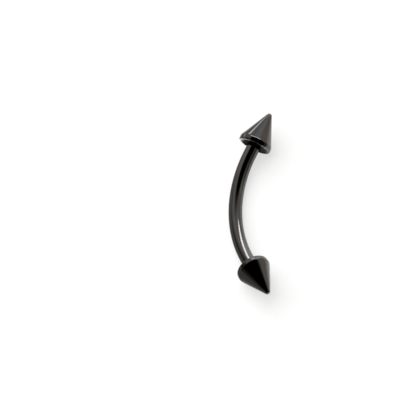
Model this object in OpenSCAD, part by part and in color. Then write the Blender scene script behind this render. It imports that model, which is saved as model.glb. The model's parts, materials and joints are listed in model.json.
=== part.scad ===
// Curved barbell with a screw-on cone at each end, lying as it rests on a table.
// Z = 0 is the table. The bar's chord runs along Y, its bulge faces -X and its open side +X.

/* [Bar] */
// Diameter of the round bar, 16 gauge
bar_d = 1.2; // [1:0.1:1.3]
// Straight distance between the flat backs of the two cones, the size it is sold by
wear_l = 12; // [10:1:16]
// Angle in degrees that each half of the bar turns through
half_turn = 28.8; // [24:0.1:35]
// Straight length at each end of the bar, before the bend starts
straight_l = 0.75; // [0.5:0.05:1.2]

/* [Thread] */
// Length of the threaded stud beyond its shoulder, at each end of the bar
stud_l = 1; // [0.8:0.1:1.2]
// Width of the shoulder around the stud, which seats inside the cone's back
shoulder_w = 0.08; // [0.06:0.01:0.12]
// Clearance all round between the stud and the cone's bore
clearance = 0.03; // [0.02:0.01:0.05]

/* [Cones] */
// Largest diameter of a cone, across the narrow cylindrical land at its back
cone_d = 2.95; // [2.8:0.05:3.6]
// Length of a cone from its flat back to the end of its tip
cone_l = 3.3; // [3.2:0.1:5]
// Length of the land
land_l = 0.22; // [0.1:0.02:0.4]
// Radius of the rounding between the flat back and the land
edge_r = 0.15; // [0.1:0.05:0.2]
// Radius of the rounding between the land and the side
blend_r = 0.35; // [0.2:0.05:0.35]
// Radius of the blunt tip
tip_r = 0.25; // [0.1:0.05:0.3]
// Diameter of the countersink in a cone's back
sink_d = 2.5; // [1.6:0.1:2.6]
// Depth of the countersink, where the bar's shoulder seats
seat_depth = 0.7; // [0.2:0.05:0.8]

/* [Hidden] */
$fn = 96;
black_steel = [0.14, 0.14, 0.15];

bar_r = bar_d / 2;
stud_r = bar_r - shoulder_w;
// The straight ends start a little inside the bend and are a hair thinner, so the two join cleanly
seam_l = 0.05;
end_r = bar_r - 0.003;
stud_chamfer = 0.1;
// Gap between the shoulder and its seat in a cone that is screwed home
seat_gap = 0.02;
shoulder_z = seat_depth - seat_gap;
stud_end_z = seat_depth + stud_l;

// The bore's straight wall goes a little past the stud
bore_r = stud_r + clearance;
bore_end_z = stud_end_z + 0.15;
// Slope of the drill's point at the bottom of the bore, half of 118 degrees
drill_half_angle = 59;
mouth_chamfer = 0.03;

// The countersink: its mouth, its bottom around the bar, and how fast it widens towards the back
sink_r = sink_d / 2;
seat_r = bar_r + clearance;
sink_slope = (sink_r - seat_r) / seat_depth;
// How far it is cut past the cone's back
sink_over = 0.05;

// The bend: its radius, and how far its middle stands off the chord
bend_r = (wear_l / 2 - straight_l * cos(half_turn)) / sin(half_turn);
sagitta = bend_r * (1 - cos(half_turn)) + straight_l * sin(half_turn);

// Half outline of a cone: centres of its three roundings, as [distance from the axis, height]
edge_centre = [cone_d / 2 - edge_r, edge_r];
blend_centre = [cone_d / 2 - blend_r, edge_r + land_l];
tip_centre = [0, cone_l - tip_r];

// The barbell rests on the middle of its bend and on both cones' back edges. Sine of the tilt at
// which all three touch the table, from
// rest_a * m + rest_b = edge_centre[0] * sqrt(1 - (m * sin(half_turn))^2)
rest_a = sagitta + edge_r * sin(half_turn);
rest_b = bar_r - edge_r;
rest_q = rest_a ^ 2 + (edge_centre[0] * sin(half_turn)) ^ 2;
rest_root = (rest_a * rest_b) ^ 2 - rest_q * (rest_b ^ 2 - edge_centre[0] ^ 2);
tilt = asin((sqrt(rest_root) - rest_a * rest_b) / rest_q);
chord_z = sagitta * sin(tilt) + bar_r;

// Reach along X from the chord, of the bend and of the farther of a cone's land and tip
axis_x = sin(half_turn) * cos(tilt);
bulge_reach = sagitta * cos(tilt) + bar_r;
land_reach = blend_centre[1] * axis_x + blend_centre[0] * sqrt(1 - axis_x ^ 2) + blend_r;
tip_reach = tip_centre[1] * axis_x + tip_r;
chord_x = (bulge_reach - max(land_reach, tip_reach)) / 2;

// Direction, seen from the axis, in which the cone's side faces outward
side_run = tip_centre - blend_centre;
side_facing = atan2(side_run[1], side_run[0]) - acos((blend_r - tip_r) / norm(side_run));
side_normal = [cos(side_facing), sin(side_facing)];

// Takes the bend's plane, with its middle of the chord at the origin, to how it lies on the table
module at_rest() {
    translate([chord_x, 0, chord_z])
        rotate([0, -tilt, 0])
            children();
}

// Takes a lathe shape along +Z to the +Y end of the bar, with Z = 0 at the back of the cone
module at_end() {
    translate([0, wear_l / 2, 0])
        rotate([-90, 0, -half_turn])
            children();
}

// One straight end with its shoulder and stud, turned about the bar's own axis
module bar_end() {
    rotate_extrude()
        polygon([
            [0, -straight_l - seam_l],
            [end_r, -straight_l - seam_l],
            [end_r, shoulder_z],
            [stud_r, shoulder_z],
            [stud_r, stud_end_z - stud_chamfer],
            [stud_r - stud_chamfer, stud_end_z],
            [0, stud_end_z]
        ]);
}

module bend() {
    translate([bend_r - sagitta, 0, 0])
        rotate([0, 0, 180 - half_turn])
            rotate_extrude(angle = 2 * half_turn)
                translate([bend_r, 0])
                    circle(r = bar_r);
}

module bar() {
    color(black_steel)
        at_rest() {
            bend();
            at_end() bar_end();
            mirror([0, 1, 0]) at_end() bar_end();
        }
}

// Half outline of a cone before it is drilled: flat back, land, straight side and blunt tip
module cone_outline() {
    intersection() {
        union() {
            translate(edge_centre) circle(r = edge_r);
            translate(blend_centre) circle(r = blend_r);
            translate(tip_centre) circle(r = tip_r);
            polygon([
                [0, 0],
                [edge_centre[0], 0],
                [cone_d / 2, edge_centre[1]],
                [cone_d / 2, blend_centre[1]],
                blend_centre + blend_r * side_normal,
                tip_centre + tip_r * side_normal,
                tip_centre
            ]);
        }
        square([cone_d, cone_l]);
    }
}

// Half outline of the hollow: countersink, seat, chamfered blind bore and the drill's point
module bore_outline() {
    polygon([
        [0, -sink_over],
        [sink_r + sink_over * sink_slope, -sink_over],
        [seat_r, seat_depth],
        [bore_r + mouth_chamfer, seat_depth],
        [bore_r, seat_depth + mouth_chamfer],
        [bore_r, bore_end_z],
        [0, bore_end_z + bore_r / tan(drill_half_angle)]
    ]);
}

module cone() {
    color(black_steel)
        rotate_extrude()
            difference() {
                cone_outline();
                bore_outline();
            }
}

module upper_cone() {
    at_rest() at_end() cone();
}

module lower_cone() {
    at_rest() mirror([0, 1, 0]) at_end() cone();
}

bar();
upper_cone();
lower_cone();
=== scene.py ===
import json
import math
import bpy
import numpy as np
from mathutils import Matrix, Quaternion, Vector


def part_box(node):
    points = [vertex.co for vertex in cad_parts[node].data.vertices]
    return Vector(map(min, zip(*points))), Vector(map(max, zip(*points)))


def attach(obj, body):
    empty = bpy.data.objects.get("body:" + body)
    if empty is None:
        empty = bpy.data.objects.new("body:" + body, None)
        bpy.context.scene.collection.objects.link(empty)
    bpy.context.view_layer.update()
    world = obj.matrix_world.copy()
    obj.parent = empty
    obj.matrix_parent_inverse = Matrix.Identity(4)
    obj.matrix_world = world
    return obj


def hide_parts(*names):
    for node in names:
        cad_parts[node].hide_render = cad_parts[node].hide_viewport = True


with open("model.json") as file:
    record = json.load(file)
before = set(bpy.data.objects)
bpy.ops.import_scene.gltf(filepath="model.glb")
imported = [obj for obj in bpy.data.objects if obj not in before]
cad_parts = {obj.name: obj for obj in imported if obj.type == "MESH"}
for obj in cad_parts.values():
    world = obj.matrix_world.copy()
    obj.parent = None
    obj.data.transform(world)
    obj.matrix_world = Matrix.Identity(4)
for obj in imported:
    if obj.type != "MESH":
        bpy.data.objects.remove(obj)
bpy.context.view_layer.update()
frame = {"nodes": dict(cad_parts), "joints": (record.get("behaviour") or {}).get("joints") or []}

mm = 0.001
scene = bpy.context.scene
print("frame loaded:", ", ".join(sorted(frame["nodes"])))

# Sizes of the barbell, in millimetres like all lengths in this file. The first four are the same as in
# the part's source, and the thread is cut only here.
barbell = {
    "barRadius": 0.6,
    "wearLength": 12.0,     # between the flat backs of the two cones
    "straightEnd": 0.75,    # at each end, before the bend starts
    "seatDepth": 0.7,       # of a cone's countersink, where the bar's shoulder seats
    "pitch": 0.25,          # of the M1.2 thread
    "threadFlat": 0.16,     # share of the pitch that is flat on the crest, and again at the root
    "threadRings": 16,      # rings of points in one turn of the thread
}

# The frame says how the barbell lies: the upper cone's unscrewing line gives the turn and the tilt
unscrewLine = Vector(next(j["axis"] for j in frame["joints"] if j["name"] == "upper_cone_unscrew"))
halfTurn = math.acos(unscrewLine.y)
tilt = math.atan2(unscrewLine.z, unscrewLine.x)
bendRadius = (barbell["wearLength"] / 2 - barbell["straightEnd"] * math.cos(halfTurn)) / math.sin(halfTurn)
bulge = bendRadius * (1 - math.cos(halfTurn)) + barbell["straightEnd"] * math.sin(halfTurn)
halfPath = bendRadius * halfTurn + barbell["straightEnd"]  # from the bar's middle to the back of a cone
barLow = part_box("bar")[0]
atRest = (
    Matrix.Translation((barLow.x + (bulge * math.cos(tilt) + barbell["barRadius"]) * mm, 0,
                        (bulge * math.sin(tilt) + barbell["barRadius"]) * mm))
    @ Matrix.Rotation(-tilt, 4, "Y")
)

# The photo's camera, as the outline of the barbell gives it
photoView = {
    "elevation": 61.2,                # degrees above the table
    "turn": 0.99,                     # degrees from straight in front towards +X
    "distance": 300.0,
    "besideChord": (-3.927, 0.533),   # the point looked at, on the table, from the middle of the chord
    "lens": 297.5,
    "sensor": 36.0,
    "clip": (10.0, 10000.0),          # nearest and farthest place that it sees
}


def makeCamera(view):
    rise, turn = math.radians(view["elevation"]), math.radians(view["turn"])
    target = Vector((atRest.translation.x + view["besideChord"][0] * mm, view["besideChord"][1] * mm, 0))
    away = Vector((math.sin(turn) * math.cos(rise), -math.cos(turn) * math.cos(rise), math.sin(rise)))
    cameraData = bpy.data.cameras.new("photoCamera")
    cameraData.sensor_width = view["sensor"]
    cameraData.lens = view["lens"]
    cameraData.clip_start, cameraData.clip_end = (c * mm for c in view["clip"])
    camera = bpy.data.objects.new("photoCamera", cameraData)
    camera.location = target + away * view["distance"] * mm
    camera.rotation_euler = (-away).to_track_quat("-Z", "Y").to_euler()
    scene.collection.objects.link(camera)
    scene.camera = camera


makeCamera(photoView)
print("camera placed")


def hexToLinear(hexText):
    parts = [int(hexText[k:k + 2], 16) / 255 for k in (1, 3, 5)]
    return tuple(p / 12.92 if p <= 0.04045 else ((p + 0.055) / 1.055) ** 2.4 for p in parts) + (1.0,)


def addNode(tree, kind, inputs=None, **settings):
    # An input gets a value, or a link where another node's output is given. Sockets that share a name go
    # by number: of a Mix node, 0 is the share, 2 and 3 are its values and 6 and 7 its colours, and the
    # outputs are 0 for a value and 2 for a colour.
    node = tree.nodes.new(kind)
    for name, value in settings.items():
        setattr(node, name, value)
    for name, value in (inputs or {}).items():
        if isinstance(value, bpy.types.NodeSocket):
            tree.links.new(value, node.inputs[name])
        else:
            node.inputs[name].default_value = value
    return node


# 316L surgical steel, turned, tumble polished and black PVD coated: a dark mirror with a hint of
# warmth. The coat is a few microns thick, so it follows the faint polishing lines beneath it, and
# it thins on the edges that touch things.
polishedPvd = {
    "coat": "#4d4c4b",
    "coatCloud": "#555453",     # where the coat is slightly thicker
    "wornEdge": "#8d8b88",
    "cloudSize": 0.9,           # patches of slightly different coat
    "lineWidth": 0.06,          # real lines are near 0.01, too fine to show here
    "lineHeight": 0.00022,
    "peelSize": 0.16,           # the soft waviness that tumbling leaves
    "peelHeight": 0.00018,
    "roughness": (0.055, 0.10),
    "wornRoughness": 0.22,
}

# The same coat on the threads and the countersinks, cut and never polished: duller. Its darker colour is
# painted shade, which makes the countersinks dark as if they lay in shade.
cutPvdAndPaintedShade = {
    "coat": "#2b2a2b",
    "coatCloud": "#333234",
    "wornEdge": "#777572",
    "cloudSize": 0.5,
    "lineWidth": 0.035,
    "lineHeight": 0.0012,
    "peelSize": 0.08,
    "peelHeight": 0.0004,
    "roughness": (0.2, 0.34),
    "wornRoughness": 0.36,
}

noiseSpread = (0.3, 0.7)    # nearly all of a noise lies between these
wornLevels = (0.42, 0.66)   # of the noise, where wear begins and where it is whole


def makeSteel(name, finish):
    material = bpy.data.materials.new(name)
    material.use_nodes = True
    tree = material.node_tree
    tree.nodes.clear()
    # "turned" is each point's place in mm on the straight, unbent blank; "grain" is the same place
    # drawn out along the polishing lines; "wear" is 1 on the edges that rub
    turned = addNode(tree, "ShaderNodeAttribute", attribute_name="turned").outputs["Vector"]
    grain = addNode(tree, "ShaderNodeAttribute", attribute_name="grain").outputs["Vector"]
    wear = addNode(tree, "ShaderNodeAttribute", attribute_name="wear").outputs["Fac"]
    cloud = addNode(tree, "ShaderNodeTexNoise", {
        "Vector": turned, "Scale": 1 / finish["cloudSize"], "Detail": 3.0, "Roughness": 0.55})
    lines = addNode(tree, "ShaderNodeTexNoise", {
        "Vector": grain, "Scale": 1 / finish["lineWidth"], "Detail": 2.0, "Roughness": 0.6})
    peel = addNode(tree, "ShaderNodeTexNoise", {
        "Vector": turned, "Scale": 1 / finish["peelSize"], "Detail": 2.0, "Roughness": 0.5})
    # wear shows in patches, not as an even stripe
    patchy = addNode(tree, "ShaderNodeMapRange", {
        "Value": peel.outputs["Fac"], "From Min": wornLevels[0], "From Max": wornLevels[1]},
        interpolation_type="SMOOTHSTEP")
    worn = addNode(tree, "ShaderNodeMath", {0: wear, 1: patchy.outputs["Result"]}, operation="MULTIPLY")
    coat = addNode(tree, "ShaderNodeMix", {
        0: cloud.outputs["Fac"], 6: hexToLinear(finish["coat"]), 7: hexToLinear(finish["coatCloud"])},
        data_type="RGBA")
    colour = addNode(tree, "ShaderNodeMix", {
        0: worn.outputs["Value"], 6: coat.outputs[2], 7: hexToLinear(finish["wornEdge"])}, data_type="RGBA")
    gloss = addNode(tree, "ShaderNodeMapRange", {
        "Value": lines.outputs["Fac"], "From Min": noiseSpread[0], "From Max": noiseSpread[1],
        "To Min": finish["roughness"][0], "To Max": finish["roughness"][1]})
    roughness = addNode(tree, "ShaderNodeMix", {
        0: worn.outputs["Value"], 2: gloss.outputs["Result"], 3: finish["wornRoughness"]})
    lineBump = addNode(tree, "ShaderNodeBump", {
        "Height": lines.outputs["Fac"], "Strength": 1.0, "Distance": finish["lineHeight"] * mm})
    peelBump = addNode(tree, "ShaderNodeBump", {
        "Height": peel.outputs["Fac"], "Strength": 1.0, "Distance": finish["peelHeight"] * mm,
        "Normal": lineBump.outputs["Normal"]})
    steel = addNode(tree, "ShaderNodeBsdfPrincipled", {
        "Base Color": colour.outputs[2], "Metallic": 1.0, "Roughness": roughness.outputs[0],
        "Normal": peelBump.outputs["Normal"]})
    addNode(tree, "ShaderNodeOutputMaterial", {"Surface": steel.outputs["BSDF"]})
    return material


polished = makeSteel("blackPvdSteelPolished", polishedPvd)
# the cut finish also carries painted shade: its darker colour darkens the countersinks
cutSteelAndPaintedShade = makeSteel("blackPvdSteelCutAndPaintedShade", cutPvdAndPaintedShade)
print("materials made")


def ringAt(along, radius, wear=0.0, finish=0, cut=0.0):
    # one ring of points: its place along the axis, its radius, its wear from 0 to 1, its finish, which is
    # 0 for polished or 1 for cut and darkened with painted shade, and how deep a thread is cut into it
    return {"along": along, "radius": radius, "wear": wear, "finish": finish, "cut": cut}


def threadShape(along, angle):
    # 0 on the crest and 1 at the root of a right-hand thread, with soft flanks
    flat = barbell["threadFlat"]
    phase = (along / barbell["pitch"] - angle / (2 * math.pi)) % 1
    fromCrest = np.clip((np.abs(phase - 0.5) * 2 - flat) / (1 - 2 * flat), 0, 1)
    return fromCrest * fromCrest * (3 - 2 * fromCrest)


def threadRun(start, end, crest, depth):
    # rings of a thread between two places, fading in and out over half a turn
    count = round(abs(end - start) / barbell["pitch"] * barbell["threadRings"])
    fade = barbell["pitch"] / 2
    run = []
    for along in np.linspace(start, end, count + 1):
        fromEnd = min(abs(along - start), abs(along - end))
        run.append(ringAt(along, crest, finish=1, cut=depth * min(1, fromEnd / fade)))
    return run


sharpAngle = math.radians(33)   # faces that meet at more than this have a sharp edge between them


def makeSkin(name, rings, columns, lineStretch, putAt, shapeIt=None):
    # One closed skin through rings of points. lineStretch draws the polishing lines out:
    # ("along", n) for a drawn bar, ("around", n) for a turned cone
    way, stretch = lineStretch
    angle = np.linspace(0, 2 * math.pi, columns, endpoint=False)
    places, grains, wears, firsts = [], [], [], []
    outline = 0.0
    for k, ring in enumerate(rings):
        along, radius = ring["along"], ring["radius"]
        if k:
            outline += math.hypot(along - rings[k - 1]["along"], radius - rings[k - 1]["radius"])
        if radius == 0:
            points = np.array([[0, 0, along]])
        else:
            reach = radius - ring["cut"] * threadShape(along, angle)
            points = np.stack([reach * np.cos(angle), reach * np.sin(angle), np.full(columns, along)], axis=1)
        if way == "along":
            grains.append(points / (1, 1, stretch))
        else:
            grains.append(np.column_stack([points[:, :2] / stretch, np.full(len(points), outline)]))
        wears.append(np.full(len(points), ring["wear"]))
        firsts.append(sum(len(p) for p in places))
        places.append(points)
    faces, finishes = [], []
    for k in range(len(rings) - 1):
        low, high = firsts[k], firsts[k + 1]
        lowRing, highRing = len(places[k]) > 1, len(places[k + 1]) > 1
        for c in range(columns):
            d = (c + 1) % columns
            if lowRing and highRing:
                faces.append((low + c, low + d, high + d, high + c))
            elif highRing:
                faces.append((low, high + d, high + c))
            else:
                faces.append((low + c, low + d, high))
        finishes += [min(rings[k]["finish"], rings[k + 1]["finish"])] * columns
    turned = np.vstack(places)
    shaped = (shapeIt(turned) if shapeIt else turned) * mm
    mesh = bpy.data.meshes.new(name)
    mesh.from_pydata(shaped.tolist(), [], faces)
    mesh.materials.append(polished)
    mesh.materials.append(cutSteelAndPaintedShade)
    mesh.polygons.foreach_set("material_index", finishes)
    for key, kind, slot, values in (
        ("turned", "FLOAT_VECTOR", "vector", turned),
        ("grain", "FLOAT_VECTOR", "vector", np.vstack(grains)),
        ("wear", "FLOAT", "value", np.concatenate(wears)),
    ):
        mesh.attributes.new(key, kind, "POINT").data.foreach_set(slot, values.astype(np.float32).ravel())
    mesh.transform(putAt)
    mesh.shade_smooth()
    mesh.set_sharp_from_angle(angle=sharpAngle)
    mesh.validate()
    mesh.update()
    piece = bpy.data.objects.new(name, mesh)
    scene.collection.objects.link(piece)
    return piece


# The bar: 1.2 mm wire, bent, with a stud turned and threaded at each end
bar = {
    "columns": 144,             # points in a ring
    "ringSpacing": 0.05,
    "lineStretch": 40,          # length of a polishing line, in its widths
    "shoulderEdge": 0.03,       # rounding of the edge that the cone seats on
    "shoulderSteps": 6,
    "shoulderWear": 0.8,
    "shoulderInner": 0.5,       # radius up to which the shoulder is polished
    "seatGap": 0.006,           # between the shoulder and its seat in a cone
    "neckRadius": 0.44,
    "neckLength": 0.1,
    "neckFillet": 0.01,
    "threadLead": 0.03,         # from the neck's last ring to the thread
    "threadCrest": 0.52,
    "threadCut": 0.11,
    "lowCrest": 0.7,            # share of the cut by which the first crest is low, where the die ran in
    "studLength": 1.0,          # beyond the shoulder
    "studChamfer": 0.1,
    "tipEdge": (0.02, 0.03),    # along and across, between the chamfer and the stud's flat end
    "tipEdgeWear": (0.5, 0.3),
    "tipInner": 0.2,            # radius of the innermost ring on the stud's end
}


def bendBar(straight):
    # takes the straight bar, along Z, to its bend in the plane Z = 0, with the bulge towards -X
    side, height, along = straight.T
    turn = np.clip(along / bendRadius, -halfTurn, halfTurn)
    beyond = along - turn * bendRadius
    bent = np.empty_like(straight)
    bent[:, 0] = bendRadius - bulge - (bendRadius + side) * np.cos(turn) + beyond * np.sin(turn)
    bent[:, 1] = (bendRadius + side) * np.sin(turn) + beyond * np.cos(turn)
    bent[:, 2] = height
    return bent


def makeBar(spec):
    edge, full, neck = spec["shoulderEdge"], barbell["barRadius"], spec["neckRadius"]
    seat = halfPath + barbell["seatDepth"] - spec["seatGap"]
    count = round((seat - edge) / spec["ringSpacing"])
    half = [ringAt(along, full) for along in np.linspace(0, seat - edge, count + 1)]
    for step in range(1, spec["shoulderSteps"] + 1):
        lean = step / spec["shoulderSteps"] * math.pi / 2
        half.append(ringAt(seat - edge + edge * math.sin(lean), full - edge * (1 - math.cos(lean)),
                           wear=spec["shoulderWear"] * math.sin(2 * lean)))
    threadStart = seat + spec["neckLength"]
    half += [
        ringAt(seat, spec["shoulderInner"]),
        ringAt(seat, neck + spec["neckFillet"], finish=1),
        ringAt(seat + spec["neckFillet"], neck, finish=1),
        ringAt(threadStart - spec["threadLead"], neck, finish=1),
    ]
    tip = halfPath + barbell["seatDepth"] + spec["studLength"]
    run = threadRun(threadStart, tip - spec["studChamfer"], spec["threadCrest"], spec["threadCut"])
    for ring in run:
        halfTurns = (ring["along"] - threadStart) / (barbell["pitch"] / 2)
        ring["radius"] -= spec["threadCut"] * max(0, 1 - halfTurns) * spec["lowCrest"]
    half += run
    chamfered = spec["threadCrest"] - spec["studChamfer"]
    half += [
        ringAt(tip - spec["tipEdge"][0], chamfered, finish=1, wear=spec["tipEdgeWear"][0]),
        ringAt(tip, chamfered - spec["tipEdge"][1], finish=1, wear=spec["tipEdgeWear"][1]),
        ringAt(tip, spec["tipInner"], finish=1),
        ringAt(tip, 0, finish=1),
    ]
    otherHalf = [dict(ring, along=-ring["along"]) for ring in reversed(half[1:])]
    grain = ("along", spec["lineStretch"])
    piece = makeSkin("curvedBar", otherHalf + half, spec["columns"], grain, atRest, bendBar)
    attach(piece, "bar")
    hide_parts("bar")


makeBar(bar)
print("bar made")

# The cones: turned from bar stock, with a rounded rim and a blunt tip, drilled and tapped from the back.
# The steps are the bands that each stretch of the outline is divided into.
cone = {
    "columns": 144,             # points in a ring
    "lineStretch": 40,          # length of a polishing line, in its widths
    "radius": 1.475,
    "length": 3.3,
    "edgeRounding": 0.15,       # between the flat back and the cylindrical land
    "landLength": 0.22,
    "blendRounding": 0.35,      # between the land and the side
    "tipRounding": 0.25,
    "roundingSteps": 12,
    "sideSteps": 48,
    "landSteps": 5,
    "backSteps": 3,
    "backInset": 0.02,          # of the flat back's rings from the edges of the flat
    "sinkRadius": 1.25,         # the countersink's mouth
    "seatRadius": 0.63,         # and its bottom, where the bar's shoulder seats
    "seatInset": 0.01,          # of the ring where the seat's polish ends
    "sinkSteps": 8,
    "boreRadius": 0.55,
    "boreDepth": 1.85,
    "drillHalfAngle": 59.0,     # degrees
    "mouthChamfer": 0.03,
    "mouthWear": 0.4,
    "threadCut": 0.07,
    "threadLead": 0.03,         # from the mouth's chamfer to the thread
    "threadStop": 0.12,         # from the thread's end to the end of the bore's straight wall
    "wornSide": 0.125,          # share of the side, next to the tip, that is worn
    "tipWear": (0.5, 1.0),      # from the start of the tip's rounding to its middle
    "rolled": {"upper": 35.0, "lower": 200.0},   # degrees about its own axis, so the wear differs
}


def hollowRings(spec):
    # from the drill's point out to the back: the tapped bore, its mouth and the countersink
    bore, depth, seat = spec["boreRadius"], spec["boreDepth"], barbell["seatDepth"]
    mouth = seat + spec["mouthChamfer"]
    drillPoint = depth + bore / math.tan(math.radians(spec["drillHalfAngle"]))
    rings = [ringAt(drillPoint, 0, finish=1), ringAt(depth, bore, finish=1)]
    rings += threadRun(depth - spec["threadStop"], mouth + spec["threadLead"], bore, -spec["threadCut"])
    rings += [
        ringAt(mouth, bore, finish=1),
        ringAt(seat, bore + spec["mouthChamfer"], wear=spec["mouthWear"]),
        ringAt(seat, spec["seatRadius"] - spec["seatInset"], finish=1),
    ]
    # the countersink's walls take the cut finish, darker with painted shade
    for share in np.linspace(0, 1, spec["sinkSteps"] + 1):
        widen = (spec["sinkRadius"] - spec["seatRadius"]) * share
        rings.append(ringAt(seat * (1 - share), spec["seatRadius"] + widen, finish=1))
    return rings


def outerRings(spec):
    # from the flat back to the tip
    edge, blend, tip = spec["edgeRounding"], spec["blendRounding"], spec["tipRounding"]
    edgeCircle, blendCircle = spec["radius"] - edge, spec["radius"] - blend
    blendAlong, tipAlong = edge + spec["landLength"], spec["length"] - tip
    sideRun = tipAlong - blendAlong
    # the direction that the side faces, seen from the axis
    facing = math.atan2(sideRun, -blendCircle) - math.acos((blend - tip) / math.hypot(blendCircle, sideRun))
    steps, inset = spec["roundingSteps"] + 1, spec["backInset"]
    back = np.linspace(spec["sinkRadius"] + inset, edgeCircle - inset, spec["backSteps"] + 1)
    rings = [ringAt(0.0, radius) for radius in back]
    for lean in np.linspace(-math.pi / 2, 0, steps):  # the most wear is in the middle of the rounding
        rings.append(ringAt(edge * (1 + math.sin(lean)), edgeCircle + edge * math.cos(lean),
                            wear=abs(math.sin(2 * lean))))
    land = np.linspace(edge, blendAlong, spec["landSteps"] + 1)[1:-1]
    rings += [ringAt(along, spec["radius"]) for along in land]
    for lean in np.linspace(0, facing, steps):
        rings.append(ringAt(blendAlong + blend * math.sin(lean), blendCircle + blend * math.cos(lean)))
    start = rings[-1]
    end = ringAt(tipAlong + tip * math.sin(facing), tip * math.cos(facing))
    tipWear, middleWear = spec["tipWear"]
    for share in np.linspace(0, 1, spec["sideSteps"] + 1)[1:-1]:
        rings.append(ringAt(start["along"] + (end["along"] - start["along"]) * share,
                            start["radius"] + (end["radius"] - start["radius"]) * share,
                            wear=tipWear * max(0, 1 - (1 - share) / spec["wornSide"])))
    for share in np.linspace(0, 1, steps)[:-1]:
        lean = facing + (math.pi / 2 - facing) * share
        rings.append(ringAt(tipAlong + tip * math.sin(lean), tip * math.cos(lean),
                            wear=tipWear + (middleWear - tipWear) * share))
    rings.append(ringAt(spec["length"], 0, wear=middleWear))
    return rings


def makeCone(spec, end):
    towards = 1 if end == "upper" else -1
    swing = -halfTurn if end == "upper" else -(math.pi - halfTurn)
    putAt = (
        atRest
        @ Matrix.Translation((0, towards * barbell["wearLength"] / 2 * mm, 0))
        @ Matrix.Rotation(swing, 4, "Z")
        @ Matrix.Rotation(-math.pi / 2, 4, "X")
        @ Matrix.Rotation(math.radians(spec["rolled"][end]), 4, "Z")
    )
    rings = hollowRings(spec) + outerRings(spec)
    piece = makeSkin(end + "Cone", rings, spec["columns"], ("around", spec["lineStretch"]), putAt)
    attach(piece, end + "_cone")
    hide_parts(end + "_cone")


makeCone(cone, "upper")
makeCone(cone, "lower")
print("cones made")

# A matt white acrylic sheet as the table top: pale and even, only just glossy
tableTop = {
    "colour": "#f3f3f2",
    "colourDeep": "#eeeeee",
    "size": 2000.0,
    "sunk": 0.001,              # below the barbell's lowest points, so that no faces coincide
    "mottle": 4.0,              # size of a very faint unevenness
    "roughness": 0.6,
    "ior": 1.49,
    "specular": 0.2,
    "shown": 0.3,               # share of its lamplight that the camera sees
    "lift": 0.72,               # and the even white added to that
    # the table's share in the metal is painted shade: darker towards the near left
    "paintedShadeInMetal": (0.27, 1.0),     # share that the metal reflects, from the near left to the far right
    "paintedShadeRun": (-3.0, 2.2),  # where that share starts and stops growing, measured from the origin
    "paintedShadeWay": (1.0, 0.12, 0.0),     # along this line
}


def makeTable(spec):
    material = bpy.data.materials.new("whiteAcrylicMatt")
    material.use_nodes = True
    tree = material.node_tree
    tree.nodes.clear()
    place = addNode(tree, "ShaderNodeTexCoord").outputs["Object"]
    mottle = addNode(tree, "ShaderNodeTexNoise", {
        "Vector": place, "Scale": 1 / (spec["mottle"] * mm), "Detail": 2.0})
    colour = addNode(tree, "ShaderNodeMix", {
        0: mottle.outputs["Fac"], 6: hexToLinear(spec["colour"]), 7: hexToLinear(spec["colourDeep"])},
        data_type="RGBA")
    # The photo's background was whitened afterwards, so its shadows are fainter than they are in the metal
    # painted shade: in the metal's reflections the table is darker towards the near left
    along = addNode(tree, "ShaderNodeVectorMath", {0: place, 1: spec["paintedShadeWay"]}, operation="DOT_PRODUCT")
    paintedShadeInMetal = addNode(tree, "ShaderNodeMapRange", {
        "Value": along.outputs["Value"], "From Min": spec["paintedShadeRun"][0] * mm,
        "From Max": spec["paintedShadeRun"][1] * mm, "To Min": spec["paintedShadeInMetal"][0], "To Max": spec["paintedShadeInMetal"][1]},
        interpolation_type="SMOOTHSTEP")
    toMetal = addNode(tree, "ShaderNodeLightPath").outputs["Is Glossy Ray"]
    level = addNode(tree, "ShaderNodeMix", {0: toMetal, 2: spec["shown"], 3: paintedShadeInMetal.outputs["Result"]})
    lift = addNode(tree, "ShaderNodeMix", {0: toMetal, 2: spec["lift"], 3: 0.0})
    seen = addNode(tree, "ShaderNodeVectorMath", {
        0: colour.outputs[2], "Scale": level.outputs[0]}, operation="SCALE")
    sheet = addNode(tree, "ShaderNodeBsdfPrincipled", {
        "Base Color": seen.outputs["Vector"], "Roughness": spec["roughness"], "IOR": spec["ior"],
        "Specular IOR Level": spec["specular"], "Emission Color": colour.outputs[2],
        "Emission Strength": lift.outputs[0]})
    addNode(tree, "ShaderNodeOutputMaterial", {"Surface": sheet.outputs["BSDF"]})
    half = spec["size"] / 2 * mm
    mesh = bpy.data.meshes.new("tableTop")
    corners = [(-half, -half, 0), (half, -half, 0), (half, half, 0), (-half, half, 0)]
    mesh.from_pydata(corners, [], [(0, 1, 2, 3)])
    mesh.materials.append(material)
    table = bpy.data.objects.new("tableTop", mesh)
    table.location.z = -spec["sunk"] * mm
    scene.collection.objects.link(table)


makeTable(tableTop)
print("table made")

# The room is a white tent with a dark opening over the camera, which a black mirror needs
# for its contrast. Angles in degrees, brightness with white as 1.
tent = {
    "wall": 0.82,
    "wallTint": ("#f9fbff", "#fff3e6"),     # at the back and at the sides
    "tintRun": (0.35, 0.8),     # how far sideways the second starts and is whole, with 1 as fully sideways
    "behind": 0.95,             # as the camera itself sees it, past the edge of the table
    "onTable": 0.35,            # the even light that it gives to matt things
    "opening": (172.0, 60.0),   # compass turn from +Y towards +X, and height
    "openingEdge": (49.0, 69.0),    # how far it is black, and where its edge has faded out
    # darker and brighter places of the wall: where each is, how far it is even and where it has faded
    # out, and its share of the wall's light
    "patches": [
        ((-125.0, 5.0), (35.0, 64.0), 0.3),
        ((-90.0, 20.0), (22.0, 36.0), 0.3),
        ((115.0, 5.0), (20.0, 48.0), 0.22),
        ((15.0, 10.0), (10.0, 28.0), 2.5),
        ((155.0, 8.0), (15.0, 38.0), 0.25),
        ((25.0, 36.0), (8.0, 18.0), 1.4),
    ],
}

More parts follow.
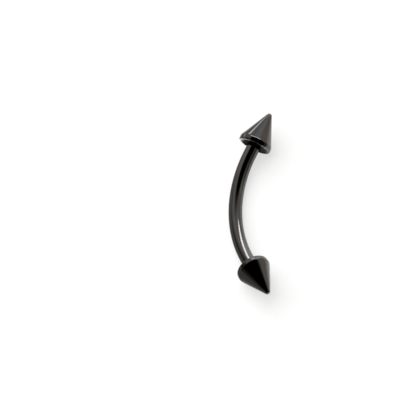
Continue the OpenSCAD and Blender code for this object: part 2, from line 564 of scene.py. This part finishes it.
# Lamps: where each is seen from the point that it looks at (compass turn and height in degrees, and how
# far away), that point, its size, how far it is rolled, its brightness with white as 1, its colour and
# the pieces that it lights; flags keep it off the rest
lamps = {
    "barStrip": {
        "seen": (2.0, 40.0, 34.0), "aim": (0.3, -3.0, 1.0), "size": (38.0, 4.8), "roll": 5.0,
        "bright": 7.8, "colour": "#ffffff", "lights": ("curvedBar",)},
    "leftGlow": {
        "seen": (-57.0, 33.0, 22.0), "aim": (-1.0, 7.0, 1.5), "size": (5.0, 26.0), "roll": 0.0,
        "bright": 0.3, "colour": "#ffe6d2", "lights": ("curvedBar",)},
    "rightGlow": {
        "seen": (86.0, 36.0, 60.0), "aim": (0.0, 0.0, 1.0), "size": (32.0, 30.0), "roll": 0.0,
        "bright": 0.24, "colour": "#f4fff0", "lights": ("curvedBar",)},
    "rimStrip": {
        "seen": (14.0, 60.0, 80.0), "aim": (1.2, 7.0, 3.0), "size": (105.0, 18.0), "roll": 0.0,
        "bright": 6.0, "colour": "#f6f5ff", "lights": ("upperCone",)},
    "lowRimStrip": {
        "seen": (5.0, 36.0, 110.0), "aim": (1.2, -7.0, 3.0), "size": (100.0, 18.0), "roll": 0.0,
        "bright": 2.0, "colour": "#f6f5ff", "lights": ("lowerCone",)},
    "slitLamp": {
        "seen": (-15.4, 13.0, 120.0), "aim": (1.2, 7.0, 3.0), "size": (22.0, 24.0), "roll": 0.0,
        "bright": 2.6, "colour": "#ffffff", "lights": ("upperCone",)},
    "backGlow": {
        "seen": (-52.0, 1.0, 167.0), "aim": (1.2, 7.0, 3.0), "size": (90.0, 24.0), "roll": 0.0,
        "bright": 2.0, "colour": "#ffffff", "lights": ("upperCone",)},
    "tableGlint": {     # a lit spot of the table, under the cone's edge
        "seen": (0.0, -90.0, 1.95), "aim": (-0.95, 6.6, 2.0), "size": (1.7, 0.8), "roll": 0.0,
        "bright": 0.95, "colour": "#fffaf4", "lights": ("upperCone",)},
    "softBox": {
        "seen": (-62.0, 58.0, 250.0), "aim": (0.0, 0.0, 0.0), "size": (330.0, 330.0), "roll": 0.0,
        "bright": 2.95, "colour": "#ffffff", "lights": ("tableTop",)},
}

wattsForWhite = 4   # per square metre of a lamp that is to show as white


def compass(turn, height):
    turn, height = math.radians(turn), math.radians(height)
    return Vector((math.sin(turn) * math.cos(height), math.cos(turn) * math.cos(height), math.sin(height)))


def makeTent(spec):
    world = bpy.data.worlds.new("whiteTent")
    world.use_nodes = True
    scene.world = world
    tree = world.node_tree
    tree.nodes.clear()
    direction = addNode(tree, "ShaderNodeTexCoord").outputs["Generated"]
    light = spec["wall"]
    for where, edges, share in [(spec["opening"], spec["openingEdge"], 0.0), *spec["patches"]]:
        towards = addNode(tree, "ShaderNodeVectorMath", {
            0: direction, 1: compass(*where)}, operation="DOT_PRODUCT")
        near, far = (math.cos(math.radians(a)) for a in edges)
        patch = addNode(tree, "ShaderNodeMapRange", {
            "Value": towards.outputs["Value"], "From Min": far, "From Max": near, "To Min": 1.0,
            "To Max": share}, interpolation_type="SMOOTHSTEP")
        dimmed = addNode(tree, "ShaderNodeMath", {0: light, 1: patch.outputs["Result"]}, operation="MULTIPLY")
        light = dimmed.outputs["Value"]
    path = addNode(tree, "ShaderNodeLightPath").outputs
    matt = addNode(tree, "ShaderNodeMix", {0: path["Is Diffuse Ray"], 2: light, 3: spec["onTable"]})
    shown = addNode(tree, "ShaderNodeMix", {0: path["Is Camera Ray"], 2: matt.outputs[0], 3: spec["behind"]})
    parts = addNode(tree, "ShaderNodeSeparateXYZ", {0: direction})
    sideways = addNode(tree, "ShaderNodeMath", {0: parts.outputs["X"]}, operation="ABSOLUTE")
    across = addNode(tree, "ShaderNodeMapRange", {
        "Value": sideways.outputs["Value"], "From Min": spec["tintRun"][0], "From Max": spec["tintRun"][1]})
    backTint, sideTint = (hexToLinear(colour) for colour in spec["wallTint"])
    tint = addNode(tree, "ShaderNodeMix", {
        0: across.outputs["Result"], 6: backTint, 7: sideTint}, data_type="RGBA")
    background = addNode(tree, "ShaderNodeBackground", {
        "Color": tint.outputs[2], "Strength": shown.outputs[0]})
    addNode(tree, "ShaderNodeOutputWorld", {"Surface": background.outputs["Background"]})


def makeLamp(name, spec):
    lampData = bpy.data.lights.new(name, "AREA")
    lampData.shape = "RECTANGLE"
    lampData.size, lampData.size_y = (s * mm for s in spec["size"])
    lampData.energy = spec["bright"] * wattsForWhite * lampData.size * lampData.size_y
    lampData.color = hexToLinear(spec["colour"])[:3]
    lamp = bpy.data.objects.new(name, lampData)
    turn, height, away = spec["seen"]
    outward = compass(turn, height)
    roll = Quaternion((0, 0, 1), math.radians(spec["roll"]))
    lamp.location = (Vector(spec["aim"]) + outward * away) * mm
    lamp.rotation_euler = (outward.to_track_quat("Z", "Y") @ roll).to_euler()
    lamp.visible_camera = False
    lit = bpy.data.collections.new(name + "Lights")
    for pieceName in spec["lights"]:
        lit.objects.link(bpy.data.objects[pieceName])
    lamp.light_linking.receiver_collection = lit
    scene.collection.objects.link(lamp)


makeTent(tent)
for lampName, lampSpec in lamps.items():
    makeLamp(lampName, lampSpec)
scene.view_settings.view_transform = "Standard"
print("tent and lamps placed")
